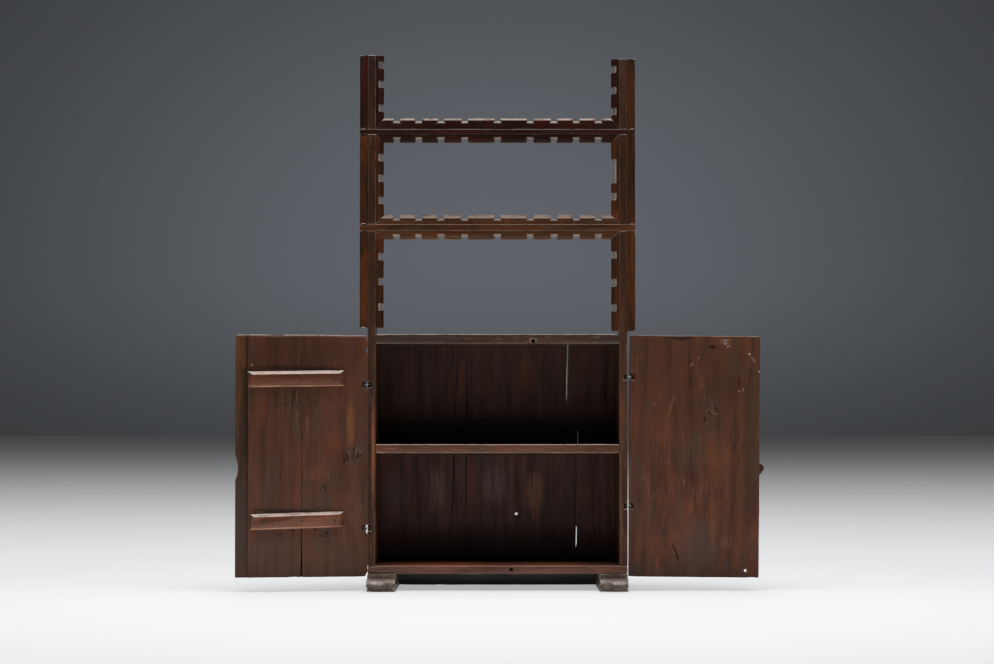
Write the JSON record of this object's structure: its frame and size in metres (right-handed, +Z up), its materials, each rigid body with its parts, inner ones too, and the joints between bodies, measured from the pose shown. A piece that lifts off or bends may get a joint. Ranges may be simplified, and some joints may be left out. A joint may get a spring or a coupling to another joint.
{
  "type": "cabinet with open rack",
  "caption": "Low rustic two-door wooden cabinet with a shelf, linked-eye hinges and runner feet, carrying a tall shallow open rack edged with notched, mitred strips.",
  "frame": {"origin": "on the floor, at the middle of the bounding box with both doors open as pictured", "axes": "+X to the right seen from the front, +Y from the front to the back, +Z up"},
  "size_m": [1.6196, 0.3617, 1.651],
  "materials": {
    "foot_wood": "old waxed wood, worn at the edges",
    "sill_wood": "old waxed wood, worn at the edges",
    "carcass_wood": "old waxed wood, worn at the edges",
    "board_wood": "old waxed wood, worn at the edges",
    "back_wood": "old waxed wood, worn at the edges",
    "ledge_wood": "old waxed wood, worn at the edges",
    "strip_wood": "old waxed wood, worn at the edges",
    "outer_strip_wood": "old waxed wood, worn at the edges",
    "left_door_wood": "old waxed wood, worn at the edges",
    "batten_wood": "old waxed wood, worn at the edges",
    "right_door_wood": "old waxed wood, worn at the edges",
    "button_wood": "old waxed wood, worn at the edges",
    "peg_wood": "old waxed wood, worn at the edges",
    "iron": "forged, dark, rubbed bright at the edges",
    "nail_iron": "forged, dark, rubbed bright at the edges"
  },
  "bodies": {
    "carcass": {"left_runner_foot": "foot_wood", "right_runner_foot": "foot_wood", "rear_sill_rail": "sill_wood", "left_post": "carcass_wood", "right_post": "carcass_wood", "left_side_board": "carcass_wood", "right_side_board": "carcass_wood", "bottom_board": "board_wood", "mid_shelf": "board_wood", "top_board": "board_wood", "back_plank_1": "back_wood", "back_plank_2": "back_wood", "back_plank_3": "back_wood", "back_plank_4": "back_wood", "back_plank_5": "back_wood", "upper_ledge": "ledge_wood", "lower_ledge": "ledge_wood", "top_bay_sill_strip": "strip_wood", "top_bay_left_strip": "strip_wood", "top_bay_right_strip": "strip_wood", "middle_bay_head_strip": "strip_wood", "middle_bay_sill_strip": "strip_wood", "middle_bay_left_strip": "strip_wood", "middle_bay_right_strip": "strip_wood", "lower_bay_head_strip": "strip_wood", "lower_bay_left_strip": "strip_wood", "lower_bay_right_strip": "strip_wood", "top_left_outer_strip": "outer_strip_wood", "top_right_outer_strip": "outer_strip_wood", "middle_left_outer_strip": "outer_strip_wood", "middle_right_outer_strip": "outer_strip_wood", "lower_left_outer_strip": "outer_strip_wood", "lower_right_outer_strip": "outer_strip_wood", "foot_pegs": "peg_wood", "side_nails": "nail_iron", "back_nails": "nail_iron", "rack_nails": "nail_iron", "left_low_hinge_post_eye": "iron", "left_high_hinge_post_eye": "iron", "right_low_hinge_post_eye": "iron", "right_high_hinge_post_eye": "iron"},
    "left_door": {"left_door_hinge_board": "left_door_wood", "left_door_middle_board": "left_door_wood", "left_door_edge_strip": "left_door_wood", "left_door_upper_batten": "batten_wood", "left_door_lower_batten": "batten_wood", "left_door_nails": "nail_iron", "left_low_hinge_door_eye": "iron", "left_high_hinge_door_eye": "iron"},
    "right_door": {"right_door_board": "right_door_wood", "turn_button_nail": "nail_iron", "right_low_hinge_door_eye": "iron", "right_high_hinge_door_eye": "iron"},
    "turn_button": {"turn_button": "button_wood"}
  },
  "joints": [
    {"name": "left_door_hinge", "type": "hinge", "parent": "carcass", "child": "left_door", "pos_m": [-0.4135, -0.105, 0.413], "axis": [0, 0, 1], "range_deg": [-13, 171]},
    {"name": "right_door_hinge", "type": "hinge", "parent": "carcass", "child": "right_door", "pos_m": [0.3915, -0.105, 0.458], "axis": [-0.0052, 0, -1], "range_deg": [-3, 180]},
    {"name": "turn_button_pivot", "type": "hinge", "parent": "right_door", "child": "turn_button", "pos_m": [0.77087, -0.0785, 0.34802], "axis": [0, 1, 0], "range_deg": [-40, 50]}
  ]
}
